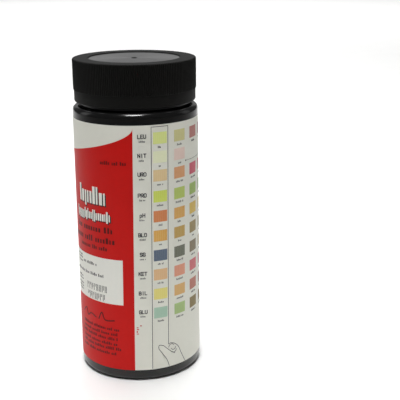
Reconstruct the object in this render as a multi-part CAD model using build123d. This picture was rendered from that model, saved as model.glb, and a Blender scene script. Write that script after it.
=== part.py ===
from build123d import *
import math
import os

# A black screw-capped bottle of dip-and-read test strips, in millimetres.
# Z is the bottle's axis, the bottle stands on Z = 0, and the middle of the label faces -Y.
# The cap is modelled screwed down, and the strips stand inside with their pads at the bottom.

# Test strips
strip_width = 5.0
strip_length = 105.0
backing_thickness = 0.3
pad_length = 4.4
pad_thickness = 0.6
pad_pitch = 7.5
first_pad_inset = 2.0
strip_gap = 0.05
strips_per_stack = 12
stack_count = 3
stack_gap = 0.4
stand_gap = 0.1
strip_headroom = 4.5
mouth_clearance = 0.6
pad_names = (
    "glucose",
    "bilirubin",
    "ketone",
    "gravity",
    "blood",
    "ph",
    "protein",
    "urobilinogen",
    "nitrite",
    "leukocyte",
)

# Bottle
body_radius = 23.75
body_wall = 1.4
base_wall = 1.6
base_round = 2.45
foot_width = 3.2
push_up = 1.2
push_up_slope = 1.8
shoulder_round = 2.4
shoulder_ledge = 0.75
shoulder_wall = 1.45
neck_wall = 1.5
neck_height = 14.8
rim_chamfer = 0.3

# Thread: a 6-to-the-inch cap thread
thread_pitch = 25.4 / 6
thread_turns = 1.5
thread_depth = 1.0
thread_crest = 1.0
thread_root = 2.4
thread_inset = 2.0
thread_clearance = 0.25
thread_play = 0.15
thread_bury = 0.3
thread_fade = 40.0
thread_start_angle = 250.0
section_step = 12.0

# Cap
cap_gap = 1.3
skirt_wall = 1.13
band_height = 4.4
band_inset = 0.03
band_chamfer = 0.4
rib_count = 188
rib_depth = 0.25
top_plate = 1.6
top_rim_width = 5.58
recess_depth = 0.4
recess_slope = 0.25
gate_radius = 1.0
gate_height = 0.2
lead_in = 0.5

# Liner, desiccant and its disc
liner_thickness = 0.7
liner_hole_gap = 0.7
liner_clearance = 0.35
seat_gap = 0.05
well_gap = 3.6
well_wall = 1.0
well_depth = 8.0
well_lip = 0.5
well_lip_height = 0.3
disc_thickness = 0.6
disc_clearance = 0.1
fill_clearance = 0.2

# Label
label_thickness = 0.1
adhesive_gap = 0.03
label_above_round = 2.15
label_below_shoulder = 2.1
label_lap_angle = 14.0
label_lap_start = 62.0

# Heights, from the floor of the bottle up to the top of the cap
floor_height = push_up + base_wall
strip_bottom = floor_height + stand_gap
well_bottom = strip_bottom + strip_length + strip_headroom
plate_underside = well_bottom + well_depth
rim_height = plate_underside - liner_thickness - 2 * seat_gap
shoulder_top = rim_height - neck_height
shoulder_start = shoulder_top - shoulder_round
cap_top = plate_underside + top_plate
skirt_bottom = shoulder_top + cap_gap
band_top = skirt_bottom + band_height
label_bottom = base_round + label_above_round
label_top = shoulder_start - label_below_shoulder

# Radii that follow from the body, from the neck out to the cap and in to the well
neck_radius = body_radius - shoulder_round - shoulder_ledge
bore_radius = neck_radius - neck_wall
skirt_inner_radius = neck_radius + thread_depth + thread_clearance
rib_valley_radius = skirt_inner_radius + skirt_wall
rib_crest_radius = rib_valley_radius + rib_depth
band_radius = rib_valley_radius - band_inset
recess_radius = rib_valley_radius - top_rim_width
well_radius = bore_radius - well_gap
liner_hole_radius = well_radius + liner_hole_gap
well_inner_radius = well_radius - well_wall


def turned(*corners):
    """Solid turned about Z from corners given as radius, height and the round at that corner."""
    points = [(radius, height) for radius, height, _ in corners]
    rounds = [corner_round for _, _, corner_round in corners]
    outline = FilletPolyline(*points, radius=rounds, close=True)
    return revolve(Plane.XZ * make_face(outline), Axis.Z)


def disc(radius, bottom, top):
    """Plain round disc or plug about Z."""
    return Pos(0, 0, bottom) * extrude(Circle(radius), top - bottom)


def thread_ridge(wall_radius, outward, middle_height):
    """Helical ridge that stands on a round wall, fading into it at both ends.

    wall_radius is the wall it stands on, outward is 1 on the neck and -1 inside the cap, and
    middle_height is the height of the ridge's middle where it starts.
    """
    sweep_angle = 360.0 * thread_turns
    steps = math.ceil(sweep_angle / section_step)
    foot_radius = wall_radius - outward * thread_bury
    flank_slope = (thread_root - thread_crest) / 2 / thread_depth
    foot_half = thread_root / 2 + flank_slope * thread_bury
    sections = []
    for step in range(steps + 1):
        angle = sweep_angle * step / steps
        fade = min(1.0, angle / thread_fade, (sweep_angle - angle) / thread_fade)
        height = thread_depth * fade - thread_bury / 3 * (1 - fade)
        crest_radius = wall_radius + outward * height
        crest_half = foot_half - flank_slope * (height + thread_bury)
        middle = middle_height + thread_pitch * angle / 360.0
        outline = Polyline(
            (foot_radius, middle - foot_half),
            (crest_radius, middle - crest_half),
            (crest_radius, middle + crest_half),
            (foot_radius, middle + foot_half),
            close=True,
        )
        section = Plane.XZ * make_face(outline)
        sections.append(Rot(0, 0, thread_start_angle + angle) * section)
    return loft(sections)


def bottle_thread_start():
    """Height of the middle of the neck's thread at its lower end."""
    return rim_height - thread_inset - thread_turns * thread_pitch


def cap_thread_start():
    """The cap's thread lies under the neck's, flank to flank but for the play."""
    flank_slope = (thread_root - thread_crest) / 2 / thread_depth
    overlap = thread_depth - thread_clearance
    flank_to_flank = thread_crest + flank_slope * overlap
    return bottle_thread_start() - flank_to_flank - thread_play


def bottle():
    """Blow-moulded bottle with a pushed-up base, a round shoulder and a threaded neck."""
    foot_inner = body_radius - base_round - foot_width
    inner_radius = body_radius - body_wall
    inner_foot = foot_inner + base_wall / 2
    inner_shoulder = shoulder_top - shoulder_wall
    outer = [
        (0, push_up, 0),
        (foot_inner - push_up_slope, push_up, 0),
        (foot_inner, 0, 0),
        (body_radius, 0, base_round),
        (body_radius, shoulder_top, shoulder_round),
        (neck_radius, shoulder_top, 0),
        (neck_radius, rim_height - rim_chamfer, 0),
        (neck_radius - rim_chamfer, rim_height, 0),
    ]
    inner = [
        (bore_radius, rim_height, 0),
        (bore_radius, inner_shoulder, 0),
        (inner_radius, inner_shoulder, 0),
        (inner_radius, base_wall, 0),
        (inner_foot, base_wall, 0),
        (inner_foot - push_up_slope, floor_height, 0),
        (0, floor_height, 0),
    ]
    return turned(*outer, *inner) + thread_ridge(neck_radius, 1, bottle_thread_start())


def rib_ring():
    """Toothed prism that gives the cap its upright ribs, from the band up to the top."""
    points = []
    for index in range(2 * rib_count):
        angle = math.pi * index / rib_count
        radius = rib_crest_radius if index % 2 == 0 else rib_valley_radius
        points.append((radius * math.cos(angle), radius * math.sin(angle)))
    outline = make_face(Polyline(*points, close=True))
    return Pos(0, 0, band_top) * extrude(outline, cap_top - band_top)


def cap():
    """Ribbed screw cap with a smooth band, a recessed top and a well for the desiccant."""
    recess_floor = cap_top - recess_depth
    lip_radius = well_inner_radius - well_lip
    lip_top = well_bottom + well_lip_height
    blank = turned(
        (0, recess_floor, 0),
        (recess_radius - recess_slope, recess_floor, 0),
        (recess_radius, cap_top, 0),
        (rib_crest_radius, cap_top, 0),
        (rib_crest_radius, band_top, 0),
        (band_radius, band_top, 0),
        (band_radius, skirt_bottom + band_chamfer, 0),
        (band_radius - band_chamfer, skirt_bottom, 0),
        (skirt_inner_radius + lead_in, skirt_bottom, 0),
        (skirt_inner_radius, skirt_bottom + lead_in, 0),
        (skirt_inner_radius, plate_underside, 0),
        (well_radius, plate_underside, 0),
        (well_radius, well_bottom, 0),
        (lip_radius, well_bottom, 0),
        (lip_radius, lip_top, 0),
        (well_inner_radius, lip_top, 0),
        (well_inner_radius, plate_underside, 0),
        (0, plate_underside, 0),
    )
    envelope = rib_ring() + disc(rib_crest_radius, skirt_bottom, band_top)
    gate = disc(gate_radius, recess_floor - gate_height, recess_floor + gate_height)
    thread = thread_ridge(skirt_inner_radius, -1, cap_thread_start())
    return (blank & envelope) + gate + thread


def liner():
    """Soft sealing ring that lies on the bottle's rim, under the cap."""
    outline = Circle(skirt_inner_radius - liner_clearance) - Circle(liner_hole_radius)
    return Pos(0, 0, rim_height + seat_gap) * extrude(outline, liner_thickness)


def desiccant_disc():
    """Card disc that lies on the well's lip and keeps the desiccant in."""
    bottom = well_bottom + well_lip_height + seat_gap
    return disc(well_inner_radius - disc_clearance, bottom, bottom + disc_thickness)


def desiccant():
    """Drying filling of the well, a closed plug of its outer shape."""
    bottom = well_bottom + well_lip_height + 2 * seat_gap + disc_thickness
    return disc(well_inner_radius - fill_clearance, bottom, plate_underside - seat_gap)


def label():
    """Printed film wrapped once round the body, with its end lapped over its start at the back."""
    inner = body_radius + adhesive_gap
    outer = inner + label_thickness
    wrap = Circle(outer) - Circle(inner)
    lap_ring = Circle(outer + label_thickness) - Circle(outer - label_thickness / 2)
    sector_points = [(0, 0)]
    for angle in (label_lap_start, label_lap_start + label_lap_angle):
        direction = math.radians(angle)
        sector_points.append((2 * outer * math.cos(direction), 2 * outer * math.sin(direction)))
    sector = make_face(Polyline(*sector_points, close=True))
    return Pos(0, 0, label_bottom) * extrude(wrap + (lap_ring & sector), label_top - label_bottom)


def strip_places():
    """Front-left corner of each strip's backing: stacks side by side against the back of the mouth."""
    half_width = (stack_count * strip_width + (stack_count - 1) * stack_gap) / 2
    back = math.sqrt((bore_radius - mouth_clearance) ** 2 - half_width**2)
    strip_step = backing_thickness + pad_thickness + strip_gap
    places = []
    for stack in range(stack_count):
        left = -half_width + stack * (strip_width + stack_gap)
        for index in range(strips_per_stack):
            places.append((left, back - backing_thickness - index * strip_step))
    return places


def corner_box(left, front, bottom, width, depth, height):
    """Box placed by its lowest corner."""
    return Pos(left, front, bottom) * Box(width, depth, height, align=(Align.MIN, Align.MIN, Align.MIN))


def strip_backings():
    """White plastic strips, one solid each."""
    return [
        corner_box(left, front, strip_bottom, strip_width, backing_thickness, strip_length)
        for left, front in strip_places()
    ]


def pads(row):
    """One test's pad on every strip, counted from the strip's lower end."""
    bottom = strip_bottom + first_pad_inset + row * pad_pitch
    return [
        corner_box(left, front - pad_thickness, bottom, strip_width, pad_thickness, pad_length)
        for left, front in strip_places()
    ]


def write(name, solids):
    """Write one sub-part as parts/NAME.step."""
    export_step(Compound(children=list(solids)), f"parts/{name}.step")


os.makedirs("parts", exist_ok=True)
write("bottle", [bottle()])
write("cap", [cap()])
write("liner", [liner()])
write("desiccant", [desiccant()])
write("desiccant_disc", [desiccant_disc()])
write("label", [label()])
write("strip_backings", strip_backings())
for row, name in enumerate(pad_names):
    write(f"{name}_pads", pads(row))
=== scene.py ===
"""Dressed model of a black screw-capped bottle of dip-and-read test strips.

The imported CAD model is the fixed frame. Finer skins stand for the bottle, the cap and the label,
the label's print lies on its film as thin layers of ink, and the pieces inside keep their solids.
Sizes are in millimetres, and the meshes are turned into metres when they are finished.
"""

import logging
import math
import random
from dataclasses import dataclass
from enum import Enum
from typing import Any, Sequence, Union

import bmesh
import bpy
from mathutils import Matrix, Vector


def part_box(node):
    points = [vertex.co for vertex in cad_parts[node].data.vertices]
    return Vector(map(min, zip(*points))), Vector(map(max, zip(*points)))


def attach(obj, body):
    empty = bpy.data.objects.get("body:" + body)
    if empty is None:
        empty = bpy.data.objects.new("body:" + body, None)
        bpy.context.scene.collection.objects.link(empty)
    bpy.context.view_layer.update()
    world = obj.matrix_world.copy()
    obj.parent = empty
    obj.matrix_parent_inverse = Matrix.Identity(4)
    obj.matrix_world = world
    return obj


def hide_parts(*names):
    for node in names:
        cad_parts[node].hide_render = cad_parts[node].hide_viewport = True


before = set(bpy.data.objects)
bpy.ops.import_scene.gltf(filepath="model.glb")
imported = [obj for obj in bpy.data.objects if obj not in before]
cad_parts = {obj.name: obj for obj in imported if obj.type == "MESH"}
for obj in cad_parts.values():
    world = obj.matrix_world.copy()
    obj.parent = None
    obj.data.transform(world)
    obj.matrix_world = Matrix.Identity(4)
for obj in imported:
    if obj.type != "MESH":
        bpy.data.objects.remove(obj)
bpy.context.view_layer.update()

log = logging.getLogger("test_strip_bottle")

MM = 0.001
TURN = 2.0 * math.pi
# Number of points round the bottle and its label.
AROUND = 240

Colour = tuple[float, float, float]
Corner = tuple[float, float, float]
Spot = tuple[float, float]
Pair = tuple[float, float]
Area = tuple[float, float, float, float]


def printed(red: int, green: int, blue: int) -> Colour:
    """Turn a colour given as screen values from 0 to 255 into a linear one.

    Args:
        red: Red screen value.
        green: Green screen value.
        blue: Blue screen value.

    Returns:
        The linear colour.
    """
    return tuple(((value / 255 + 0.055) / 1.055) ** 2.4 for value in (red, green, blue))


def cad_span(node: str) -> tuple[float, float]:
    """Lowest and highest point of a CAD node, in millimetres."""
    low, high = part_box(node)
    return low[2] / MM, high[2] / MM


class Value:
    """One number in a shader, to which Python's operators add Math nodes."""

    def __init__(self, bench: "Bench", socket: bpy.types.NodeSocket) -> None:
        """Keep the socket and the bench that its nodes are made on."""
        self.bench = bench
        self.socket = socket

    def __add__(self, other: "Number") -> "Value":
        """Sum."""
        return self.bench.maths("ADD", self, other)

    __radd__ = __add__

    def __sub__(self, other: "Number") -> "Value":
        """Difference."""
        return self.bench.maths("SUBTRACT", self, other)

    def __rsub__(self, other: "Number") -> "Value":
        """Difference, the other way round."""
        return self.bench.maths("SUBTRACT", other, self)

    def __mul__(self, other: "Number") -> "Value":
        """Product."""
        return self.bench.maths("MULTIPLY", self, other)

    __rmul__ = __mul__

    def __truediv__(self, other: "Number") -> "Value":
        """Quotient."""
        return self.bench.maths("DIVIDE", self, other)


Number = Union[Value, float]
Stops = Sequence[tuple[float, Colour]]


class Bench:
    """One material's nodes: a Principled shader joined to the output, and what feeds it."""

    def __init__(self, name: str) -> None:
        """Start an empty material.

        Args:
            name: The material's name.
        """
        self.material = bpy.data.materials.new(name)
        self.material.use_nodes = True
        self.tree = self.material.node_tree
        self.tree.nodes.clear()
        self.shader = self.node("ShaderNodeBsdfPrincipled", {}, {})
        self.node("ShaderNodeOutputMaterial", {}, {"Surface": self.shader.outputs[0]})
        self.place = self.node("ShaderNodeTexCoord", {}, {}).outputs["Object"]

    def node(self, kind: str, settings: dict[str, Any], inputs: dict[Any, Any]) -> bpy.types.Node:
        """Make one node.

        Args:
            kind: The node's type.
            settings: Its settings, which are set first. "stops" fills a colour ramp.
            inputs: Values, sockets or Value objects for its sockets, by name or number.

        Returns:
            The node.
        """
        made = self.tree.nodes.new(kind)
        for key, setting in settings.items():
            if key == "stops":
                self.fill_ramp(made.color_ramp, setting)
            else:
                setattr(made, key, setting)
        for key, given in inputs.items():
            source = given.socket if isinstance(given, Value) else given
            if isinstance(source, bpy.types.NodeSocket):
                self.tree.links.new(source, made.inputs[key])
            else:
                made.inputs[key].default_value = source
        return made

    @staticmethod
    def fill_ramp(ramp: bpy.types.ColorRamp, stops: Stops) -> None:
        """Give a colour ramp its stops.

        Args:
            ramp: The ramp, which starts with two stops.
            stops: Position and colour of each stop, in order.
        """
        while len(ramp.elements) < len(stops):
            ramp.elements.new(1.0)
        for element, (position, colour) in zip(ramp.elements, stops):
            element.position = position
            element.color = (*colour, 1.0)

    def maths(self, operation: str, first: Number, second: Number = 0.0) -> Value:
        """Number worked out by one Math node."""
        made = self.node("ShaderNodeMath", {"operation": operation}, {0: first, 1: second})
        return Value(self, made.outputs[0])

    def axis(self, name: str) -> Value:
        """One coordinate of the surface point, X, Y or Z, in millimetres."""
        parts = self.node("ShaderNodeSeparateXYZ", {}, {0: self.place})
        return Value(self, parts.outputs[name]) / MM

    def reach(self) -> Value:
        """Distance of the surface point from the bottle's axis, in millimetres."""
        flat = self.axis("X") * self.axis("X") + self.axis("Y") * self.axis("Y")
        return self.maths("SQRT", flat)

    def step_up(self, value: Value, low: float, high: float) -> Value:
        """Smooth step from 0 at low to 1 at high.

        Args:
            value: What is compared.
            low: Where the step starts.
            high: Where it ends.

        Returns:
            The step.
        """
        inputs = {"Value": value, "From Min": low, "From Max": high}
        made = self.node("ShaderNodeMapRange", {"interpolation_type": "SMOOTHSTEP"}, inputs)
        return Value(self, made.outputs[0])

    def noise(self, size: float, detail: float = 2.0, stretch: Corner = (1.0, 1.0, 1.0)) -> Value:
        """Smooth noise from 0 to 1.

        Args:
            size: Size of its blotches, in millimetres.
            detail: Number of finer octaves.
            stretch: How much denser it is along X, Y and Z.

        Returns:
            The noise.
        """
        scaled = self.node(
            "ShaderNodeVectorMath", {"operation": "MULTIPLY"}, {0: self.place, 1: stretch}
        )
        inputs = {"Vector": scaled.outputs[0], "Scale": 1.0 / (size * MM), "Detail": detail}
        return Value(self, self.node("ShaderNodeTexNoise", {}, inputs).outputs[0])

    def cells(self, size: float) -> Value:
        """Distance from the middle of the nearest cell, cells being about size millimetres wide."""
        inputs = {"Vector": self.place, "Scale": 1.0 / (size * MM)}
        return Value(self, self.node("ShaderNodeTexVoronoi", {}, inputs).outputs["Distance"])

    def ramp(self, value: Value, stops: Stops) -> bpy.types.NodeSocket:
        """Colour read from a ramp."""
        return self.node("ShaderNodeValToRGB", {"stops": stops}, {0: value}).outputs[0]

    def blend(self, factor: Value, first: Any, second: Any) -> bpy.types.NodeSocket:
        """Mix of two colours, each a linear colour or a socket.

        Args:
            factor: Share of the second colour.
            first: The colour at 0.
            second: The colour at 1.

        Returns:
            The mixed colour.
        """
        ends = [(*end, 1.0) if isinstance(end, tuple) else end for end in (first, second)]
        inputs = {0: factor, 6: ends[0], 7: ends[1]}
        return self.node("ShaderNodeMix", {"data_type": "RGBA"}, inputs).outputs[2]

    def bump(self, height: Value, depth: float, under: Any = None) -> bpy.types.NodeSocket:
        """Normal bent by a height map.

        Args:
            height: The height map, 0 to 1.
            depth: What 1 stands for, in millimetres.
            under: An earlier bump that this one lies on.

        Returns:
            The bent normal.
        """
        inputs = {"Strength": 1.0, "Distance": depth * MM, "Height": height}
        if under is not None:
            inputs["Normal"] = under
        return self.node("ShaderNodeBump", {}, inputs).outputs[0]

    def finish(self, fixed: dict[str, Any], varying: dict[str, Any]) -> bpy.types.Material:
        """Feed the shader.

        Args:
            fixed: Values that are the same all over the surface.
            varying: Sockets or Value objects for what changes over the surface.

        Returns:
            The material.
        """
        for key, setting in fixed.items():
            self.shader.inputs[key].default_value = setting
        for key, given in varying.items():
            source = given.socket if isinstance(given, Value) else given
            self.tree.links.new(source, self.shader.inputs[key])
        return self.material


def shade(colour: Colour, factor: float) -> Colour:
    """Colour made lighter or darker by a factor."""
    return tuple(min(1.0, part * factor) for part in colour)


@dataclass(frozen=True)
class BlackPlastic:
    """Black moulded plastic with a faint ripple, a fine grain and a little dust.

    Attributes:
        name: Material name.
        colour: Its colour.
        roughness: Roughness where it is smoothest, and where it is roughest.
        ripple: Width and depth of the moulding's ripple, in millimetres.
        grain: Width and depth of the grain, in millimetres.
        specular: Strength of its mirror shine.
        haze: Width of the smoother and rougher patches, in millimetres.
        dust: Width of the patches of dust, in millimetres.
        dust_edge: Noise level at which dust starts, and at which it is full.
        dust_cover: Share of the colour that full dust covers.
        dust_tone: How much lighter dust is.
    """

    name: str
    colour: Colour
    roughness: Pair
    ripple: Pair
    grain: Pair
    specular: float = 0.5
    haze: float = 9.0
    dust: float = 3.5
    dust_edge: Pair = (0.62, 0.8)
    dust_cover: float = 0.12
    dust_tone: float = 2.5

    def material(self) -> bpy.types.Material:
        """Build the material.

        Returns:
            The material.
        """
        bench = Bench(self.name)
        wave = bench.noise(self.ripple[0], 1.0)
        grain = bench.noise(self.grain[0], 3.0)
        smooth, rough = self.roughness
        roughness = smooth + (rough - smooth) * bench.noise(self.haze, 4.0)
        dust = bench.step_up(bench.noise(self.dust, 6.0), *self.dust_edge) * self.dust_cover
        colour = bench.blend(dust, self.colour, shade(self.colour, self.dust_tone))
        normal = bench.bump(grain, self.grain[1], bench.bump(wave, self.ripple[1]))
        return bench.finish(
            {"Specular IOR Level": self.specular},
            {"Base Color": colour, "Roughness": roughness, "Normal": normal},
        )


@dataclass(frozen=True)
class CapPlastic:
    """Satin black cap: matt on its ribs and rim, smoother in the recess on top.

    Attributes:
        name: Material name.
        colour: Its colour.
        recess_radius: Radius of the recess, in millimetres.
        top: Height of the cap's top, in millimetres.
        gate_radius: Radius of the gate mark in its middle, in millimetres.
        crest_radius: Radius of the ribs' crests, in millimetres.
        matt: Roughness of the ribs and the rim.
        smooth: Roughness of the recess.
        rim_fade: How far inside the recess's edge its smooth floor begins to fade, and ends.
        gate_fade: How far from the gate mark that floor ends, and is full.
        depth_fade: How far under the top that floor ends, and is full.
        flow: Width of the flow marks, in millimetres, and the roughness that they add.
        wear_width: How far down from their crests the ribs are worn, in millimetres.
        wear: Width of the worn patches, in millimetres, and the share of colour they cover.
        wear_tone: How much lighter the worn places are.
        grain: Width and depth of the grain, in millimetres.
        specular: Strength of its mirror shine.
    """

    name: str
    colour: Colour
    recess_radius: float
    top: float
    gate_radius: float
    crest_radius: float
    matt: float = 0.6
    smooth: float = 0.26
    rim_fade: Pair = (0.5, 0.3)
    gate_fade: Pair = (0.2, 0.4)
    depth_fade: Pair = (1.2, 0.8)
    flow: Pair = (1.6, 0.1)
    wear_width: float = 0.09
    wear: Pair = (2.2, 0.5)
    wear_tone: float = 1.9
    grain: Pair = (0.35, 0.012)
    specular: float = 0.15

    def material(self) -> bpy.types.Material:
        """Build the material.

        Returns:
            The material.
        """
        bench = Bench(self.name)
        reach = bench.reach()
        rim = [self.recess_radius - inset for inset in self.rim_fade]
        gate = [self.gate_radius + gap for gap in self.gate_fade]
        floor = [self.top - drop for drop in self.depth_fade]
        inside = 1.0 - bench.step_up(reach, *rim)
        disc = inside * bench.step_up(reach, *gate) * bench.step_up(bench.axis("Z"), *floor)
        flow = bench.noise(self.flow[0], 4.0) * self.flow[1]
        roughness = self.matt + flow - disc * (self.matt - self.smooth)
        worn = bench.step_up(reach, self.crest_radius - self.wear_width, self.crest_radius)
        cover = worn * bench.noise(self.wear[0], 4.0) * self.wear[1]
        colour = bench.blend(cover, self.colour, shade(self.colour, self.wear_tone))
        return bench.finish(
            {"Specular IOR Level": self.specular, "Coat Roughness": self.smooth},
            {
                "Base Color": colour,
                "Roughness": roughness,
                "Coat Weight": disc,
                "Normal": bench.bump(bench.noise(self.grain[0], 2.0), self.grain[1]),
            },
        )


@dataclass(frozen=True)
class LabelInk:
    """Printed or bare film: one colour, hardly mottled, under a satin varnish.

    Attributes:
        name: Material name.
        colour: Its colour.
        mottle: How far the colour drifts either way.
        roughness: Mean roughness of the varnish.
        patch: Width of the mottled patches, in millimetres.
        varnish: Width of the varnish's duller patches, in millimetres, and their range.
        slack: Width and depth of the film's slow waves, in millimetres.
        tooth: Width and depth of its fine tooth, in millimetres.
        specular: Strength of its mirror shine.
    """

    name: str
    colour: Colour
    mottle: float = 0.05
    roughness: float = 0.5
    patch: float = 1.4
    varnish: Pair = (6.0, 0.08)
    slack: Pair = (14.0, 0.05)
    tooth: Pair = (0.25, 0.0015)
    specular: float = 0.2

    def material(self) -> bpy.types.Material:
        """Build the material.

        Returns:
            The material.
        """
        bench = Bench(self.name)
        colour = bench.blend(
            bench.noise(self.patch, 5.0),
            shade(self.colour, 1.0 - self.mottle),
            shade(self.colour, 1.0 + self.mottle),
        )
        width, spread = self.varnish
        roughness = self.roughness - spread / 2 + spread * bench.noise(width, 3.0)
        slack = bench.bump(bench.noise(self.slack[0], 1.0, (1.0, 1.0, 0.6)), self.slack[1])
        tooth = bench.bump(bench.noise(self.tooth[0], 2.0), self.tooth[1], slack)
        return bench.finish(
            {"Specular IOR Level": self.specular},
            {"Base Color": colour, "Roughness": roughness, "Normal": tooth},
        )


@dataclass(frozen=True)
class ChartInk:
    """Inks of one row of the colour chart, which change from block to block.

    Attributes:
        name: Material name.
        stops: Colours of the first blocks and of the last one.
        blocks: Number of blocks in the row.
        first: Left edge of the first block, in millimetres round the label.
        pitch: Distance from block to block.
        radius: Radius that those distances are measured at.
        film: Colour of the film that shows through.
        rule: Distance between the faint lines that the printing screen leaves.
        screen: Width and depth of the screen's tooth, in millimetres.
        bare: Share of film that shows through the tooth, and through the lines.
        roughness: Mean roughness.
        varnish: Width of the varnish's duller patches, in millimetres, and their range.
        specular: Strength of its mirror shine.
    """

    name: str
    stops: tuple[Colour, ...]
    blocks: int
    first: float
    pitch: float
    radius: float
    film: Colour = printed(250, 248, 235)
    rule: float = 0.8
    screen: Pair = (0.5, 0.002)
    bare: Pair = (0.08, 0.06)
    roughness: float = 0.5
    varnish: Pair = (6.0, 0.08)
    specular: float = 0.2

    def material(self) -> bpy.types.Material:
        """Build the material.

        Returns:
            The material.
        """
        bench = Bench(self.name)
        across = bench.maths("ARCTAN2", bench.axis("X"), 0.0 - bench.axis("Y")) * self.radius
        block = bench.maths("FLOOR", (across - self.first + self.pitch / 4) / self.pitch)
        last = self.blocks - 1
        places = [index / last for index in range(len(self.stops) - 1)] + [1.0]
        colour = bench.ramp(block / last, list(zip(places, self.stops)))
        screen = bench.noise(self.screen[0], 2.0)
        rules = 0.5 + 0.5 * bench.maths("SINE", across * (TURN / self.rule))
        bare = self.bare[0] * screen + self.bare[1] * rules
        width, spread = self.varnish
        return bench.finish(
            {"Specular IOR Level": self.specular},
            {
                "Base Color": bench.blend(bare, colour, self.film),
                "Roughness": self.roughness - spread / 2 + spread * bench.noise(width, 3.0),
                "Normal": bench.bump(screen, self.screen[1]),
            },
        )


@dataclass(frozen=True)
class GrainedSheet:
    """Plain sheet with one grain: roller marks in plastic, or fibres in paper and card.

    Attributes:
        name: Material name.
        colour: Its colour.
        grain: Width of the grain, in millimetres, and its number of finer octaves.
        tones: Factors on the colour in the grain's hollows, and on its high places.
        roughness: Roughness of the hollows, and how much rougher the high places are.
        depth: Depth of the grain, in millimetres.
        stretch: How much denser the grain is along X, Y and Z.
        specular: Strength of its mirror shine.
        sheen: Strength of its soft sheen.
    """

    name: str
    colour: Colour
    grain: Pair
    tones: Pair
    roughness: Pair
    depth: float
    stretch: Corner = (1.0, 1.0, 1.0)
    specular: float = 0.2
    sheen: float = 0.0

    def material(self) -> bpy.types.Material:
        """Build the material.

        Returns:
            The material.
        """
        bench = Bench(self.name)
        grain = bench.noise(*self.grain, self.stretch)
        hollow, high = (shade(self.colour, tone) for tone in self.tones)
        return bench.finish(
            {"Specular IOR Level": self.specular, "Sheen Weight": self.sheen},
            {
                "Base Color": bench.blend(grain, hollow, high),
                "Roughness": self.roughness[0] + self.roughness[1] * grain,
                "Normal": bench.bump(grain, self.depth),
            },
        )


@dataclass(frozen=True)
class CellFoam:
    """Soft closed-cell foam or packed beads, by the size and depth of its cells, with painted shade in
    the gaps between them.

    Attributes:
        name: Material name.
        colour: Colour of the high places.
        hollow: Colour between the cells, darker than the cells as painted shade in the gaps.
        cell: Width of a cell, in millimetres.
        depth: Depth between the cells, in millimetres.
        gap_edge: Distance from a cell's middle at which the gap starts, and is full.
        roughness: Roughness of the cells, and how much rougher the gaps are.
        specular: Strength of its mirror shine.
    """

    name: str
    colour: Colour
    hollow: Colour
    cell: float
    depth: float
    gap_edge: Pair = (0.15, 0.75)
    roughness: Pair = (0.7, 0.2)
    specular: float = 0.3

    def material(self) -> bpy.types.Material:
        """Build the material.

        Returns:
            The material.
        """
        bench = Bench(self.name)
        gap = bench.step_up(bench.cells(self.cell), *self.gap_edge)
        return bench.finish(
            {"Specular IOR Level": self.specular},
            {
                # The gaps take the darker hollow colour: painted shade between the cells.
                "Base Color": bench.blend(gap, self.colour, self.hollow),
                "Roughness": self.roughness[0] + self.roughness[1] * gap,
                "Normal": bench.bump(1.0 - gap, self.depth),
            },
        )


def rounded(corners: Sequence[Corner], steps: int = 5) -> list[Spot]:
    """Outline with arcs in place of its corners.

    Args:
        corners: Radius, height and round of each corner, in order round the outline.
        steps: Number of straight pieces in each arc.

    Returns:
        Radius and height of each point of the outline.
    """
    outline = []
    for index, (radius, height, corner_round) in enumerate(corners):
        corner = Vector((radius, height))
        if corner_round == 0:
            outline.append((radius, height))
            continue
        before = (Vector(corners[index - 1][:2]) - corner).normalized()
        after = (Vector(corners[(index + 1) % len(corners)][:2]) - corner).normalized()
        half = before.angle(after) / 2
        centre = corner + (before + after).normalized() * corner_round / math.sin(half)
        reach = corner_round / math.tan(half)
        start = (corner + before * reach - centre).normalized()
        end = (corner + after * reach - centre).normalized()
        for step in range(steps + 1):
            along = start.slerp(end, step / steps).normalized()
            point = centre + along * corner_round
            outline.append((point.x, point.y))
    return outline


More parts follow.
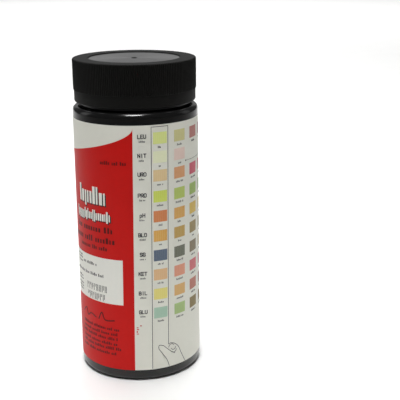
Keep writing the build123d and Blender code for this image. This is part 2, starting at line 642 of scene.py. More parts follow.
class Skin:
    """Points and faces of one closed mesh, gathered in millimetres."""

    def __init__(self) -> None:
        """Start an empty skin."""
        self.points: list[Corner] = []
        self.faces: list[list[int]] = []

    def point(self, x: float, y: float, z: float) -> int:
        """Add a point and return its number."""
        self.points.append((x, y, z))
        return len(self.points) - 1

    def ring(self, radii: Sequence[float], height: float) -> list[int]:
        """Add a closed row of points round the axis, one for each radius.

        Args:
            radii: Radius of each point, from +X on round.
            height: Height of the row.

        Returns:
            The points' numbers.
        """
        count = len(radii)
        return [
            self.point(
                radius * math.cos(TURN * index / count),
                radius * math.sin(TURN * index / count),
                height,
            )
            for index, radius in enumerate(radii)
        ]

    def join(self, first: Sequence[int], second: Sequence[int]) -> None:
        """Close the strip between two rings.

        Args:
            first: A ring, or the one point of a pole.
            second: The next ring. It may have more or fewer points, by a whole factor.
        """
        if len(first) < len(second):
            coarse, fine = first, second
        else:
            coarse, fine = second, first
        share = len(fine) // len(coarse)
        if len(coarse) == 1:
            share = 1
        for index in range(len(fine) // share):
            start = index * share
            edge = [fine[(start + offset) % len(fine)] for offset in range(share + 1)]
            near = coarse[index % len(coarse)]
            far = coarse[(index + 1) % len(coarse)]
            back = [near] if near == far else [far, near]
            self.faces.append(edge + back)

    def turn(self, outline: Sequence[Spot], count: int) -> None:
        """Add a solid turned from an outline that starts and ends on the axis.

        Args:
            outline: Radius and height of its points.
            count: Number of points round the axis.
        """
        rings = [
            self.ring([radius] * (count if radius > 0 else 1), height)
            for radius, height in outline
        ]
        for lower, upper in zip(rings, rings[1:]):
            self.join(lower, upper)

    def rod(self, sections: Sequence[Sequence[Corner]]) -> None:
        """Add a solid through a row of sections that have the same number of points.

        Args:
            sections: Points of each section, in the same order round each.
        """
        rows = [[self.point(*spot) for spot in section] for section in sections]
        for first, second in zip(rows, rows[1:]):
            for index in range(len(first)):
                after = (index + 1) % len(first)
                self.faces.append([first[index], first[after], second[after], second[index]])
        self.faces.append(list(reversed(rows[0])))
        self.faces.append(rows[-1])

    def piece(
        self,
        name: str,
        material: bpy.types.Material,
        body: str,
        slot: str,
        sharp: float = 40.0,
    ) -> bpy.types.Object:
        """Turn the skin into a piece of the model.

        Args:
            name: The piece's name.
            material: Its material.
            body: The CAD body that it moves with.
            slot: Name of the record's material slot; not used.
            sharp: Angle between faces, in degrees, from which an edge stays crisp.

        Returns:
            The piece.
        """
        mesh = bpy.data.meshes.new(name)
        mesh.from_pydata([[part * MM for part in spot] for spot in self.points], [], self.faces)
        worked = bmesh.new()
        worked.from_mesh(mesh)
        bmesh.ops.recalc_face_normals(worked, faces=worked.faces)
        worked.to_mesh(mesh)
        worked.free()
        mesh.shade_smooth()
        mesh.set_sharp_from_angle(angle=math.radians(sharp))
        mesh.materials.append(material)
        made = bpy.data.objects.new(name, mesh)
        bpy.context.collection.objects.link(made)
        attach(made, body)
        log.info("%s: %d faces on %s", name, len(mesh.polygons), body)
        return made


@dataclass(frozen=True)
class Thread:
    """Cap thread, the same on the neck and, turned inwards, in the cap.

    Attributes:
        pitch: Rise in one turn.
        turns: Number of turns.
        depth: Height of the ridge.
        crest: Width of its crest.
        root: Width of its root.
        bury: How deep its foot stands in the wall.
        fade: Angle over which each end fades, in degrees.
        start: Angle at which it starts, in degrees.
        step: Angle from section to section, in degrees.
        play: Gap between the two threads' flanks.
        clearance: Gap between a crest and the other's root.
        inset: Distance of the neck's thread from the rim.
        soften: How far the crest's edges are cut back.
    """

    pitch: float = 25.4 / 6
    turns: float = 1.5
    depth: float = 1.0
    crest: float = 1.0
    root: float = 2.4
    bury: float = 0.3
    fade: float = 40.0
    start: float = 250.0
    step: float = 4.0
    play: float = 0.15
    clearance: float = 0.25
    inset: float = 2.0
    soften: float = 0.15

    def flank(self) -> float:
        """How far a flank runs sideways for each millimetre of depth."""
        return (self.root - self.crest) / 2 / self.depth

    def neck_start(self, rim: float) -> float:
        """Height of the middle of the neck's ridge at its lower end."""
        return rim - self.inset - self.turns * self.pitch

    def cap_start(self, rim: float) -> float:
        """Height of the middle of the cap's ridge at its lower end."""
        overlap = self.depth - self.clearance
        return self.neck_start(rim) - self.crest - self.flank() * overlap - self.play

    def add(self, skin: Skin, wall: float, outward: int, start_height: float) -> None:
        """Add the ridge to a skin.

        Args:
            skin: The skin.
            wall: Radius of the wall that the ridge stands on.
            outward: 1 for a ridge on a neck, -1 for one inside a cap.
            start_height: Height of its middle at its lower end.
        """
        sweep = 360.0 * self.turns
        steps = round(sweep / self.step)
        cut = self.soften
        cut_side = self.flank() * cut
        sections = []
        for step in range(steps + 1):
            along = sweep * step / steps
            fade = min(1.0, along / self.fade, (sweep - along) / self.fade)
            height = self.depth * fade - self.bury / 3 * (1 - fade)
            half_crest = self.crest / 2 + self.flank() * (self.depth - height)
            half_foot = self.root / 2 + self.flank() * self.bury
            middle = start_height + self.pitch * along / 360.0
            outline = [
                (-self.bury, -half_foot),
                (height - cut, -half_crest - cut_side),
                (height, -half_crest + cut),
                (height, half_crest - cut),
                (height - cut, half_crest + cut_side),
                (-self.bury, half_foot),
            ]
            angle = math.radians(self.start + along)
            section = []
            for rise, across in outline:
                radius = wall + outward * rise
                spot = (radius * math.cos(angle), radius * math.sin(angle), middle + across)
                section.append(spot)
            sections.append(section)
        skin.rod(sections)


@dataclass(frozen=True)
class BottleBody:
    """Blow-moulded bottle with a pushed-up base, a round shoulder and a threaded neck.

    Attributes:
        finish: Its plastic.
        thread: The neck's thread.
        radius: Radius of the body.
        wall: Thickness of the body's wall.
        base_wall: Thickness of the base.
        base_round: Round between base and body.
        foot_width: Width of the foot ring.
        push_up: Height of the base's pushed-up middle.
        push_up_slope: Width of the slope from foot to middle.
        gate_radius: Radius of the flat gate mark in the middle of the base.
        gate_slope: Width of the slope round it.
        gate_depth: How far the base rises round it.
        shoulder_round: Round between body and shoulder.
        shoulder_wall: Thickness of the shoulder.
        neck_radius: Radius of the neck.
        neck_wall: Thickness of the neck.
        neck_height: Height of the neck over the shoulder.
        inner_round: Round of the body's inner corners.
        soft_edge: Round of the small edges.
        parting_width: Width of the mould's parting line.
        parting_height: How far the parting line stands proud.
        parting_foot: How deep its foot stands in the shoulder.
        arc_steps: Number of straight pieces in each round.
        parting_steps: Number of straight pieces in the parting line.
    """

    finish: BlackPlastic
    thread: Thread
    radius: float = 23.75
    wall: float = 1.4
    base_wall: float = 1.6
    base_round: float = 2.45
    foot_width: float = 3.2
    push_up: float = 1.2
    push_up_slope: float = 1.8
    gate_radius: float = 1.0
    gate_slope: float = 0.3
    gate_depth: float = 0.15
    shoulder_round: float = 2.4
    shoulder_wall: float = 1.45
    neck_radius: float = 20.6
    neck_wall: float = 1.5
    neck_height: float = 14.8
    inner_round: float = 1.0
    soft_edge: float = 0.35
    parting_width: float = 0.35
    parting_height: float = 0.05
    parting_foot: float = 0.1
    arc_steps: int = 8
    parting_steps: int = 12

    def outline(self, rim: float) -> list[Spot]:
        """Outline from the middle of the base, up outside and down inside to the floor.

        Args:
            rim: Height of the neck's rim.

        Returns:
            Radius and height of each point.
        """
        shoulder = rim - self.neck_height
        foot = self.radius - self.base_round - self.foot_width
        inner = self.radius - self.wall
        bore = self.neck_radius - self.neck_wall
        inner_foot = foot + self.base_wall / 2
        under = shoulder - self.shoulder_wall
        floor = self.push_up + self.base_wall
        soft = self.soft_edge
        gate_top = self.push_up + self.gate_depth
        outside = [
            (0.0, self.push_up, 0.0),
            (self.gate_radius, self.push_up, 0.0),
            (self.gate_radius + self.gate_slope, gate_top, 0.0),
            (foot - self.push_up_slope, self.push_up, soft),
            (foot, 0.0, soft),
            (self.radius, 0.0, self.base_round),
            (self.radius, shoulder, self.shoulder_round),
            (self.neck_radius, shoulder, soft),
            (self.neck_radius, rim, soft),
        ]
        inside = [
            (bore, rim, soft),
            (bore, under, soft),
            (inner, under, self.inner_round),
            (inner, self.base_wall, self.inner_round),
            (inner_foot, self.base_wall, soft),
            (inner_foot - self.push_up_slope, floor, soft),
            (0.0, floor, 0.0),
        ]
        return rounded(outside + inside, self.arc_steps)

    def parting_line(self, skin: Skin, rim: float, side: int) -> None:
        """Add the fine line that the mould's halves leave on the shoulder.

        Args:
            skin: The skin that it is added to.
            rim: Height of the neck's rim.
            side: 1 for the line on the right, -1 for the one on the left.
        """
        shoulder = rim - self.neck_height
        arc_middle = (self.radius - self.shoulder_round, shoulder - self.shoulder_round)
        half = self.parting_width / 2
        sections = []
        for step in range(self.parting_steps + 1):
            angle = math.radians(90.0 * step / self.parting_steps)
            spots = []
            for proud in (-self.parting_foot, self.parting_height):
                reach = self.shoulder_round + proud
                across = min(arc_middle[0] + reach * math.cos(angle), self.radius)
                spots.append((across, arc_middle[1] + reach * math.sin(angle)))
            (deep, deep_z), (high, high_z) = spots
            sections.append(
                [
                    (side * deep, -half, deep_z),
                    (side * deep, half, deep_z),
                    (side * high, half / 3, high_z),
                    (side * high, -half / 3, high_z),
                ]
            )
        skin.rod(sections)

    def build(self) -> bpy.types.Object:
        """Build the bottle in place of its CAD node.

        Returns:
            The piece.
        """
        rim = cad_span("bottle")[1]
        skin = Skin()
        skin.turn(self.outline(rim), AROUND)
        self.thread.add(skin, self.neck_radius, 1, self.thread.neck_start(rim))
        for side in (-1, 1):
            self.parting_line(skin, rim, side)
        made = skin.piece("bottle_shell", self.finish.material(), "bottle", "bottle_plastic")
        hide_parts("bottle")
        return made


@dataclass(frozen=True)
class ScrewCap:
    """Ribbed cap with a smooth band, a recessed top and a well for the drying filling.

    Attributes:
        colour: Colour of its plastic.
        thread: Its thread.
        ribs: Number of ribs.
        samples: Points across one rib and its groove.
        valley: Radius between the ribs.
        rib_depth: Height of a rib.
        rib_crown: How round the crests are, from 0 for square to 1 for a plain arc.
        rib_rise: Shares of a rib's depth and of its start at which the rows of that start lie.
        rib_start: Height over the band at which a rib has its full depth.
        band_inset: How far the band lies inside the ribs' valleys.
        band_height: Height of the band.
        band_bevel: Bevel of the band's lower edge.
        band_edge: How far under the ribs the band's last row lies.
        skirt_inner: Inner radius of the skirt.
        skirt_bevel: Bevel of the skirt's inner edge.
        shoulder_drop: Height of the bevel at the top edge.
        shoulder_width: Width of that bevel.
        side_steps: Number of rows up the ribs.
        shoulder_steps: Number of rows in the bevel at the top edge.
        rim_width: Distance from the ribs' valleys to the recess.
        rim_flat: Width of the flat ring next to the recess.
        recess_depth: Depth of the recess.
        recess_slope: Width of the recess's sloped wall.
        recess_round: Round of its two edges.
        top_plate: Thickness of the top.
        well_radius: Outer radius of the well.
        well_wall: Thickness of its wall.
        well_lip: Width of the lip that holds the disc.
        lip_height: Height of that lip.
        lip_gap: Gap between the lip and the disc.
        inner_round: Round of the inside's larger corners.
        well_round: Round of the corner over the well.
        lip_round: Round of the lip's edges.
        gate_radius: Radius of the gate mark.
        gate_rise: Height of its middle over the recess's floor.
        gate_crown: How far its edge lies under its middle.
        gate_slope: Width of its sloped side.
        ditch_depth: Depth of the ditch round it.
        ditch_width: Width of the ditch's floor.
        ditch_slope: Width of the ditch's outer slope.
        arc_steps: Number of straight pieces in each round.
    """

    colour: Colour
    thread: Thread
    ribs: int = 188
    samples: int = 8
    valley: float = 22.98
    rib_depth: float = 0.25
    rib_crown: float = 0.8
    rib_rise: tuple[Pair, ...] = ((0.55, 0.0), (0.85, 0.4), (1.0, 1.0))
    rib_start: float = 0.3
    band_inset: float = 0.03
    band_height: float = 4.4
    band_bevel: float = 0.45
    band_edge: float = 0.04
    skirt_inner: float = 21.85
    skirt_bevel: float = 0.5
    shoulder_drop: float = 0.55
    shoulder_width: float = 0.6
    side_steps: int = 4
    shoulder_steps: int = 5
    rim_width: float = 5.58
    rim_flat: float = 0.6
    recess_depth: float = 0.4
    recess_slope: float = 0.25
    recess_round: float = 0.12
    top_plate: float = 1.6
    well_radius: float = 15.5
    well_wall: float = 1.0
    well_lip: float = 0.5
    lip_height: float = 0.3
    lip_gap: float = 0.05
    inner_round: float = 0.3
    well_round: float = 0.2
    lip_round: float = 0.1
    gate_radius: float = 1.0
    gate_rise: float = 0.2
    gate_crown: float = 0.02
    gate_slope: float = 0.25
    ditch_depth: float = 0.08
    ditch_width: float = 0.2
    ditch_slope: float = 0.3
    arc_steps: int = 4

    def recess_radius(self) -> float:
        """Radius of the recess's edge."""
        return self.valley - self.rim_width

    def rib_row(self, base: float, depth: float) -> list[float]:
        """Radii round one row of ribs with round crests and narrow grooves.

        Args:
            base: Radius between the ribs.
            depth: Height of a rib.

        Returns:
            The radii.
        """
        waves = (math.cos(math.pi * index / self.samples) for index in range(self.samples))
        rib = [base + depth * abs(wave) ** self.rib_crown for wave in waves]
        return rib * self.ribs

    def outer_rows(self, bottom: float, top: float) -> list[Corner]:
        """Base radius, rib depth and height of each row, from the band to the top edge.

        Args:
            bottom: Height of the cap's lower edge.
            top: Height of its top.

        Returns:
            The rows.
        """
        band_top = bottom + self.band_height
        band = self.valley - self.band_inset
        bevel = self.band_bevel
        rows = [
            (band - bevel, 0.0, bottom),
            (band - bevel * 0.3, 0.0, bottom + bevel * 0.25),
            (band, 0.0, bottom + bevel),
            (band, 0.0, band_top - self.band_edge),
        ]
        for share, rise in self.rib_rise:
            height = band_top + self.rib_start * rise
            rows.append((self.valley, self.rib_depth * share, height))
        shoulder = top - self.shoulder_drop
        side = shoulder - band_top - self.rib_start
        for step in range(1, self.side_steps + 1):
            height = band_top + self.rib_start + side * step / self.side_steps
            rows.append((self.valley, self.rib_depth, height))
        for step in range(1, self.shoulder_steps + 1):
            share = step / self.shoulder_steps
            angle = math.radians(90.0 * share)
            inward = self.shoulder_width * (1.0 - math.cos(angle))
            height = shoulder + self.shoulder_drop * math.sin(angle)
            rows.append((self.valley - inward, self.rib_depth * (1.0 - share**3), height))
        return rows

    def inner_outline(self, bottom: float, top: float) -> list[Spot]:
        """Inside of the cap, from the skirt's lower edge to the middle of the top plate.

        Args:
            bottom: Height of the cap's lower edge.
            top: Height of its top.

        Returns:
            Radius and height of each point.
        """
        under = top - self.top_plate
        well_bottom = cad_span("desiccant_disc")[0] - self.lip_height - self.lip_gap
        well_inner = self.well_radius - self.well_wall
        lip = well_inner - self.well_lip
        lip_top = well_bottom + self.lip_height
        corners = [
            (self.skirt_inner + self.skirt_bevel, bottom, 0.0),
            (self.skirt_inner, bottom + self.skirt_bevel, 0.0),
            (self.skirt_inner, under, self.inner_round),
            (self.well_radius, under, self.inner_round),
            (self.well_radius, well_bottom, self.inner_round),
            (lip, well_bottom, self.lip_round),
            (lip, lip_top, self.lip_round),
            (well_inner, lip_top, 0.0),
            (well_inner, under, self.well_round),
            (0.0, under, 0.0),
        ]
        return rounded(corners, self.arc_steps)

    def top_outline(self, top: float) -> list[Spot]:
        """Rim, recess and gate mark, from the recess's edge to the middle.

        Args:
            top: Height of the cap's top.

        Returns:
            Radius and height of each point.
        """
        floor = top - self.recess_depth
        recess = self.recess_radius()
        gate = self.gate_radius
        ditch = floor - self.ditch_depth
        crown = floor + self.gate_rise
        corners = [
            (recess + self.rim_flat, top, 0.0),
            (recess, top, self.recess_round),
            (recess - self.recess_slope, floor, self.recess_round),
            (gate + self.ditch_width + self.ditch_slope, floor, 0.0),
            (gate + self.ditch_width, ditch, 0.0),
            (gate, ditch, 0.0),
            (gate - self.gate_slope, crown - self.gate_crown, 0.0),
            (0.0, crown, 0.0),
        ]
        return rounded(corners, self.arc_steps)

    def build(self) -> bpy.types.Object:
        """Build the cap in place of its CAD node.

        Returns:
            The piece.
        """
        bottom, top = cad_span("cap")
        rim = cad_span("bottle")[1]
        plastic = CapPlastic(
            "cap_plastic",
            self.colour,
            self.recess_radius(),
            top,
            self.gate_radius,
            self.valley + self.rib_depth,
        )
        skin = Skin()
        outer = [
            skin.ring(self.rib_row(base, depth), height)
            for base, depth, height in self.outer_rows(bottom, top)
        ]
        for lower, upper in zip(outer, outer[1:]):
            skin.join(lower, upper)
        for outline, edge in (
            (self.inner_outline(bottom, top), outer[0]),
            (self.top_outline(top), outer[-1]),
        ):
            rings = [
                skin.ring([radius] * (self.ribs if radius > 0 else 1), height)
                for radius, height in outline
            ]
            for first, second in zip([edge] + rings, rings):
                skin.join(first, second)
        self.thread.add(skin, self.skirt_inner, -1, self.thread.cap_start(rim))
        made = skin.piece("cap_shell", plastic.material(), "cap", "cap_plastic", 50.0)
        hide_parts("cap")
        return made


class Layer(Enum):
    """Height band of each coat of ink over the body's wall, in millimetres."""

    FIELD = (0.04, 0.075)
    PANEL = (0.07, 0.1)
    MARK = (0.095, 0.12)


@dataclass(frozen=True)
class Sheet:
    """The label as a flat sheet: u runs to the right from the middle of the front, z is height.

    Attributes:
        radius: Radius of the wall that u is measured at.
        lean: How far the print leans to the right for each millimetre of height.
        lean_from: Height at which it doesn't.
    """

    radius: float = 23.75
    lean: float = 0.0145
    lean_from: float = 98.0

    def angle(self, u: float, z: float) -> float:
        """Angle round the axis of a spot on the sheet, in radians from the front."""
        return (u + self.lean * (z - self.lean_from)) / self.radius

    def spot(self, u: float, z: float, proud: float) -> Corner:
        """Point in space of a spot on the sheet.

        Args:
            u: Distance to the right of the middle of the front.
            z: Height.
            proud: How far the point stands off the wall.

        Returns:
            The point.
        """
        angle = self.angle(u, z)
        radius = self.radius + proud
        return radius * math.sin(angle), -radius * math.cos(angle), z


LETTERS: dict[str, tuple[tuple[Spot, ...], ...]] = {
    "B": (
        ((0.0, 0.5), (0.45, 0.5), (0.6, 0.38), (0.6, 0.12), (0.45, 0.0), (0.0, 0.0), (0.0, 1.0)),
        ((0.0, 1.0), (0.42, 1.0), (0.55, 0.88), (0.55, 0.62), (0.42, 0.5)),
    ),
    "E": (((0.55, 0.0), (0.0, 0.0), (0.0, 1.0), (0.55, 1.0)), ((0.0, 0.5), (0.48, 0.5))),
    "G": (
        ((0.6, 0.85), (0.45, 1.0), (0.15, 1.0), (0.0, 0.8), (0.0, 0.2), (0.15, 0.0)),
        ((0.15, 0.0), (0.45, 0.0), (0.6, 0.15), (0.6, 0.45), (0.35, 0.45)),
    ),
    "H": (((0.0, 0.0), (0.0, 1.0)), ((0.6, 0.0), (0.6, 1.0)), ((0.0, 0.5), (0.6, 0.5))),
    "I": (((0.3, 0.0), (0.3, 1.0)),),
    "K": (((0.0, 0.0), (0.0, 1.0)), ((0.6, 1.0), (0.0, 0.45)), ((0.2, 0.6), (0.6, 0.0))),
    "L": (((0.0, 1.0), (0.0, 0.0), (0.55, 0.0)),),
    "N": (((0.0, 0.0), (0.0, 1.0), (0.6, 0.0), (0.6, 1.0)),),
    "O": (
        ((0.15, 0.0), (0.0, 0.2), (0.0, 0.8), (0.15, 1.0), (0.45, 1.0)),
        ((0.45, 1.0), (0.6, 0.8), (0.6, 0.2), (0.45, 0.0), (0.15, 0.0)),
    ),
    "P": (((0.0, 0.0), (0.0, 1.0), (0.45, 1.0), (0.6, 0.85), (0.6, 0.6), (0.45, 0.45), (0.0, 0.45)),),
    "R": (
        ((0.0, 0.0), (0.0, 1.0), (0.45, 1.0), (0.6, 0.85), (0.6, 0.6), (0.45, 0.45), (0.0, 0.45)),
        ((0.3, 0.45), (0.6, 0.0)),
    ),
    "S": (
        ((0.6, 0.88), (0.45, 1.0), (0.15, 1.0), (0.0, 0.85), (0.0, 0.65), (0.15, 0.52)),
        ((0.15, 0.52), (0.45, 0.48), (0.6, 0.35), (0.6, 0.15), (0.45, 0.0), (0.15, 0.0), (0.0, 0.12)),
    ),
    "T": (((0.0, 1.0), (0.6, 1.0)), ((0.3, 1.0), (0.3, 0.0))),
    "U": (((0.0, 1.0), (0.0, 0.2), (0.15, 0.0), (0.45, 0.0), (0.6, 0.2), (0.6, 1.0)),),
    "p": (
        ((0.05, -0.3), (0.05, 0.65), (0.4, 0.65), (0.52, 0.5), (0.52, 0.15), (0.4, 0.0), (0.05, 0.0)),
    ),
}


class Print(Skin):
    """Marks of one ink on the label, each a thin closed layer.

    Attributes:
        column: Widest straight face round the body.
        bends: Number of straight pieces between two spots of a stroke.
        advance: Distance from letter to letter, as a share of their height.
        bearing: Share of that distance that is left free before a letter.
        bars: Fewest and most bars in a word.
        widths: Least and greatest factor on a bar's width.
        heads: Heights of the bars, as shares of the line's height.
        bar_gap: Gap between bars, as a share of the line's height.
        word_gap: What a gap between words adds to that.
    """

    column = 0.6
    bends = 8
    advance = 0.84
    bearing = 0.1
    bars = (3, 8)
    widths = (0.8, 1.3)
    heads = (0.7, 0.7, 1.0)
    bar_gap = 0.24
    word_gap = 0.5

    def __init__(self, sheet: Sheet, layer: Layer) -> None:
        """Start an empty print.

        Args:
            sheet: The label's sheet.
            layer: Which coat of ink it is.
        """
        super().__init__()
        self.sheet = sheet
        self.layer = layer

    def lay(self, name: str, ink: Union[LabelInk, ChartInk]) -> bpy.types.Object:
        """Turn the print into a piece on the bottle's label."""
        return self.piece(name, ink.material(), "bottle", "label_film")

    def band(self, lows: Sequence[Spot], highs: Sequence[Spot]) -> None:
        """Add a mark between two rows of spots.

        Args:
            lows: Spots along one side.
            highs: The spot that faces each of them on the other side.
        """
        under, over = self.layer.value
        sections = []
        for low, high in zip(lows, highs):
            sections.append(
                [
                    self.sheet.spot(*low, under),
                    self.sheet.spot(*low, over),
                    self.sheet.spot(*high, over),
                    self.sheet.spot(*high, under),
                ]
            )
        self.rod(sections)

    def block(self, left: float, right: float, bottom: float, top: float) -> None:
        """Add an upright block.

        Args:
            left: Its left edge.
            right: Its right edge.
            bottom: Its foot.
            top: Its head.
        """
        count = max(1, math.ceil((right - left) / self.column))
        spots = [left + (right - left) * index / count for index in range(count + 1)]
        self.band([(u, bottom) for u in spots], [(u, top) for u in spots])

    def stroke(self, route: Sequence[Spot], width: float) -> None:
        """Add a line of even width through a few spots, on a smooth curve.

        Args:
            route: The spots that it passes through.
            width: Its width.
        """
        curve = []
        for index in range(len(route) - 1):
            before = Vector(route[max(index - 1, 0)])
            start = Vector(route[index])
            end = Vector(route[index + 1])
            after = Vector(route[min(index + 2, len(route) - 1)])
            for step in range(self.bends):
                t = step / self.bends
                bend = (end - before) * t + (2 * before - 5 * start + 4 * end - after) * t**2
                twist = (3 * start - before - 3 * end + after) * t**3
                curve.append(start + (bend + twist) / 2)
        curve.append(Vector(route[-1]))
        lows = []
        highs = []
        for index, spot in enumerate(curve):
            ahead = curve[min(index + 1, len(curve) - 1)] - curve[max(index - 1, 0)]
            side = Vector((-ahead.y, ahead.x)).normalized() * width / 2
            lows.append(tuple(spot - side))
            highs.append(tuple(spot + side))
        self.band(lows, highs)

    def line(self, start: Spot, end: Spot, width: float) -> None:
        """Add a straight line that runs on by half its width at both ends.

        Args:
            start: Where it starts.
            end: Where it ends.
            width: Its width.
        """
        ahead = (Vector(end) - Vector(start)).normalized() * width / 2
        side = Vector((-ahead.y, ahead.x))
        first = Vector(start) - ahead
        last = Vector(end) + ahead
        self.band([tuple(first - side), tuple(last - side)], [tuple(first + side), tuple(last + side)])

    def letters(self, word: str, middle: float, bottom: float, height: float, width: float) -> None:
        """Add the short name of a test in plain straight-lined capitals.

        Args:
            word: The name.
            middle: Where its middle lies.
            bottom: Its foot.
            height: Its height.
            width: Width of a line.
        """
        advance = height * self.advance
        left = middle - advance * len(word) / 2 + advance * self.bearing
        for index, letter in enumerate(word):
            for route in LETTERS[letter]:
                spots = [
                    (left + advance * index + x * height, bottom + y * height) for x, y in route
                ]
                for start, end in zip(spots, spots[1:]):
                    self.line(start, end, width)

    def words(
        self,
        left: float,
        right: float,
        bottom: float,
        top: float,
        chance: random.Random,
        weight: float = 0.3,
    ) -> None:
        """Add a line of plain upright bars that stand for words.

        Args:
            left: Where the line starts.
            right: Where it ends.
            bottom: Its foot.
            top: Its head.
            chance: Source of the words' lengths.
            weight: Width of a bar as a share of the line's height.
        """
        height = top - bottom
        u = left
        while u < right - weight * height:
            for _ in range(chance.randint(*self.bars)):
                width = weight * height * chance.uniform(*self.widths)
                if u + width > right:
                    break
                head = bottom + height * chance.choice(self.heads)
                self.block(u, u + width, bottom, head)
                u += width + self.bar_gap * height
            u += self.word_gap * height


@dataclass(frozen=True)
class WrapLabel:
    """White film wrapped once round the body, with its end lapped over its start.

    Attributes:
        finish: The bare film.
        sheet: The label's sheet.
        under: Gap between the wall and the film.
        over: How far the film's face stands off the wall.
        lap: How far the lapped end's face stands off the wall.
        lap_from: Where the lap starts, in degrees from the front.
        lap_to: Where it ends.
        lap_foot: How far the lap's inner face stands off the wall.
        lap_edge: How far its pressed-down edge stands over the film.
        lap_steps: Number of straight pieces in the lap.
        lap_taper: Number of those over which its edge is pressed down.
    """

    finish: LabelInk
    sheet: Sheet
    under: float = 0.01
    over: float = 0.05
    lap: float = 0.15
    lap_from: float = 152.0
    lap_to: float = 166.0
    lap_foot: float = 0.03
    lap_edge: float = 0.002
    lap_steps: int = 12
    lap_taper: int = 5

    def add_lap(self, skin: Skin, bottom: float, top: float) -> None:
        """Add the lapped end.

        Args:
            skin: The skin that it is added to.
            bottom: Height of the label's lower edge.
            top: Height of its upper edge.
        """
        sections = []
        for step in range(self.lap_steps + 1):
            share = step / self.lap_steps
            angle = math.radians(self.lap_from + (self.lap_to - self.lap_from) * share)
            taper = min(1.0, (self.lap_steps - step) / self.lap_taper)
            inner = self.sheet.radius + self.lap_foot
            outer = self.sheet.radius + self.over + (self.lap - self.over) * taper + self.lap_edge
            sections.append(
                [
                    (reach * math.sin(angle), -reach * math.cos(angle), height)
                    for reach, height in ((inner, bottom), (outer, bottom), (outer, top), (inner, top))
                ]
            )
        skin.rod(sections)

    def build(self) -> bpy.types.Object:
        """Build the film in place of its CAD node.

        Returns:
            The piece.
        """
        bottom, top = cad_span("label")
        skin = Skin()
        inner = [self.sheet.radius + self.under] * AROUND
        outer = [self.sheet.radius + self.over] * AROUND
        rings = [
            skin.ring(inner, bottom),
            skin.ring(outer, bottom),
            skin.ring(outer, top),
            skin.ring(inner, top),
        ]
        for first, second in zip(rings, rings[1:] + rings[:1]):
            skin.join(first, second)
        self.add_lap(skin, bottom, top)
        made = skin.piece("label_film", self.finish.material(), "bottle", "label_film")
        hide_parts("label")
        return made


class Test(Enum):
    """The ten tests of a strip, by the first word of their CAD nodes, from the top of the chart."""

    LEUKOCYTE = "leukocyte"
    NITRITE = "nitrite"
    UROBILINOGEN = "urobilinogen"
    PROTEIN = "protein"
    PH = "ph"
    BLOOD = "blood"
    GRAVITY = "gravity"
    KETONE = "ketone"
    BILIRUBIN = "bilirubin"
    GLUCOSE = "glucose"


@dataclass(frozen=True)
class ChartRow:
    """One test's row of the colour chart.

    Attributes:
        test: The test.
        short: Its short name.
        top: Height of the blocks' upper edge.
        blocks: Number of blocks.
        caption: Width of the caption under a block.
        stops: Colours of the first blocks and of the last one.
    """

    test: Test
    short: str
    top: float
    blocks: int
    caption: float
    stops: tuple[Colour, ...]


CHART_ROWS = (
    ChartRow(
        Test.LEUKOCYTE,
        "LEU",
        97.6,
        5,
        2.6,
        (printed(222, 232, 140), printed(206, 200, 138), printed(176, 106, 98), printed(110, 60, 90)),
    ),
    ChartRow(Test.NITRITE, "NIT", 90.6, 2, 1.6, (printed(234, 238, 200), printed(230, 204, 192))),
    ChartRow(
        Test.UROBILINOGEN,
        "URO",
        83.65,
        5,
        3.6,
        (printed(226, 198, 146), printed(216, 154, 102), printed(204, 70, 96), printed(176, 40, 80)),
    ),
    ChartRow(
        Test.PROTEIN,
        "PRO",
        75.75,
        6,
        4.0,
        (printed(206, 220, 84), printed(180, 200, 92), printed(150, 180, 80), printed(60, 130, 110)),
    ),
    ChartRow(
        Test.PH,
        "pH",
        68.15,
        7,
        2.2,
        (printed(212, 124, 62), printed(216, 162, 76), printed(214, 180, 70), printed(30, 90, 100)),
    ),
    ChartRow(
        Test.BLOOD,
        "BLO",
        60.6,
        7,
        1.8,
        (printed(218, 164, 70), printed(190, 154, 74), printed(150, 130, 74), printed(30, 70, 60)),
    ),
    ChartRow(
        Test.GRAVITY,
        "SG",
        52.95,
        7,
        3.2,
        (printed(74, 92, 118), printed(100, 104, 88), printed(122, 108, 78), printed(206, 170, 64)),
    ),
    ChartRow(
        Test.KETONE,
        "KET",
        45.35,
        6,
        3.6,
        (printed(224, 182, 132), printed(222, 148, 118), printed(208, 100, 108), printed(90, 30, 70)),
    ),
    ChartRow(
        Test.BILIRUBIN,
        "BIL",
        37.6,
        4,
        3.2,
        (printed(228, 216, 118), printed(222, 176, 106), printed(184, 110, 92), printed(140, 84, 76)),
    ),
    ChartRow(
        Test.GLUCOSE,
        "GLU",
        30.0,
        6,
        3.6,
        (printed(162, 196, 174), printed(164, 192, 122), printed(128, 108, 52), printed(84, 54, 36)),
    ),
)


